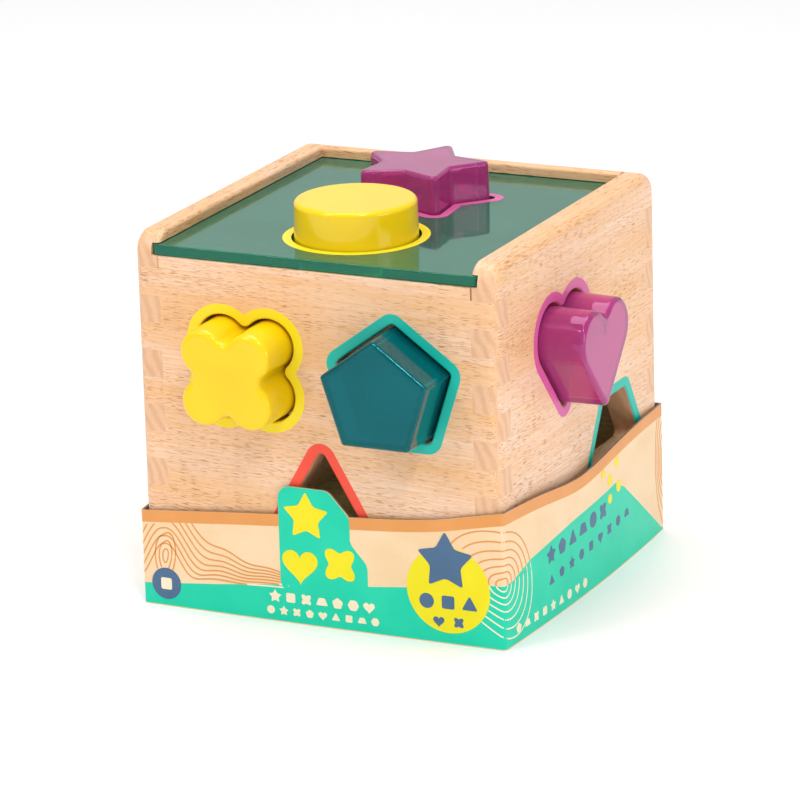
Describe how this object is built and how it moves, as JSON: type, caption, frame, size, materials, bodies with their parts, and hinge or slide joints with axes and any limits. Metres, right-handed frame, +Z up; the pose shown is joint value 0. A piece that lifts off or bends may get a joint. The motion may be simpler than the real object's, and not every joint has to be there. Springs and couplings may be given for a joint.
{
  "type": "shape sorter",
  "caption": "Wooden shape-sorting cube with a translucent sliding lid, shape holes in the lid and walls, and moulded plastic blocks, in an open cardboard display tray.",
  "frame": {"origin": "on the ground under the middle of the cube, at the centre of the tray's underside", "axes": "+X right, -Y front (the side with the pentagon, clover and triangle holes), +Z up"},
  "size_m": [0.186, 0.1703, 0.1582],
  "materials": {
    "beech": "satin lacquer",
    "lid_acrylic": "glossy translucent",
    "yellow_plastic": "glossy opaque",
    "magenta_plastic": "glossy translucent",
    "teal_plastic": "glossy translucent",
    "red_plastic": "glossy translucent",
    "cardboard": "printed, satin varnish",
    "print_yellow": "printed paint",
    "print_teal": "printed paint",
    "print_red": "printed paint",
    "print_magenta": "printed paint"
  },
  "bodies": {
    "tray": {"display_tray": "cardboard"},
    "cube": {"front_panel": "beech", "back_panel": "beech", "left_panel": "beech", "right_panel": "beech", "bottom_panel": "beech"},
    "lid": {"lid": "lid_acrylic"},
    "circle_block": {"circle_shell": "yellow_plastic", "circle_cap": "yellow_plastic"},
    "clover_block": {"clover_shell": "yellow_plastic", "clover_cap": "yellow_plastic"},
    "hexagon_block": {"hexagon_shell": "yellow_plastic", "hexagon_cap": "yellow_plastic"},
    "star_block": {"star_shell": "magenta_plastic", "star_cap": "magenta_plastic"},
    "heart_block": {"heart_shell": "magenta_plastic", "heart_cap": "magenta_plastic"},
    "pentagon_block": {"pentagon_shell": "teal_plastic", "pentagon_cap": "teal_plastic"},
    "trapezoid_block": {"trapezoid_shell": "teal_plastic", "trapezoid_cap": "teal_plastic"},
    "triangle_block": {"triangle_shell": "red_plastic", "triangle_cap": "red_plastic"},
    "square_block": {"square_shell": "red_plastic", "square_cap": "red_plastic"}
  },
  "joints": [
    {"name": "cube_lift", "type": "slide", "parent": "tray", "child": "cube", "axis": [0, 0, 1], "range_m": [0, 0.06]},
    {"name": "lid_slide", "type": "slide", "parent": "cube", "child": "lid", "axis": [0, -1, 0], "range_m": [0, 0.13]},
    {"name": "circle_slide", "type": "slide", "parent": "lid", "child": "circle_block", "axis": [0, 0, 1], "range_m": [-0.016, 0.03]},
    {"name": "star_slide", "type": "slide", "parent": "lid", "child": "star_block", "axis": [0, 0, 1], "range_m": [-0.016, 0.03]},
    {"name": "clover_slide", "type": "slide", "parent": "cube", "child": "clover_block", "axis": [0, -1, 0], "range_m": [-0.024, 0.03]},
    {"name": "pentagon_slide", "type": "slide", "parent": "cube", "child": "pentagon_block", "axis": [0, -1, 0], "range_m": [-0.024, 0.03]},
    {"name": "heart_slide", "type": "slide", "parent": "cube", "child": "heart_block", "axis": [1, 0, 0], "range_m": [-0.024, 0.03]},
    {"name": "square_slide", "type": "slide", "parent": "cube", "child": "square_block", "axis": [-1, 0, 0], "range_m": [-0.024, 0.03]},
    {"name": "triangle_lift", "type": "slide", "parent": "cube", "child": "triangle_block", "axis": [0, 0, 1], "range_m": [0, 0.035]},
    {"name": "trapezoid_lift", "type": "slide", "parent": "cube", "child": "trapezoid_block", "axis": [0, 0, 1], "range_m": [0, 0.035]},
    {"name": "hexagon_lift", "type": "slide", "parent": "cube", "child": "hexagon_block", "axis": [0, 0, 1], "range_m": [0, 0.035]}
  ]
}
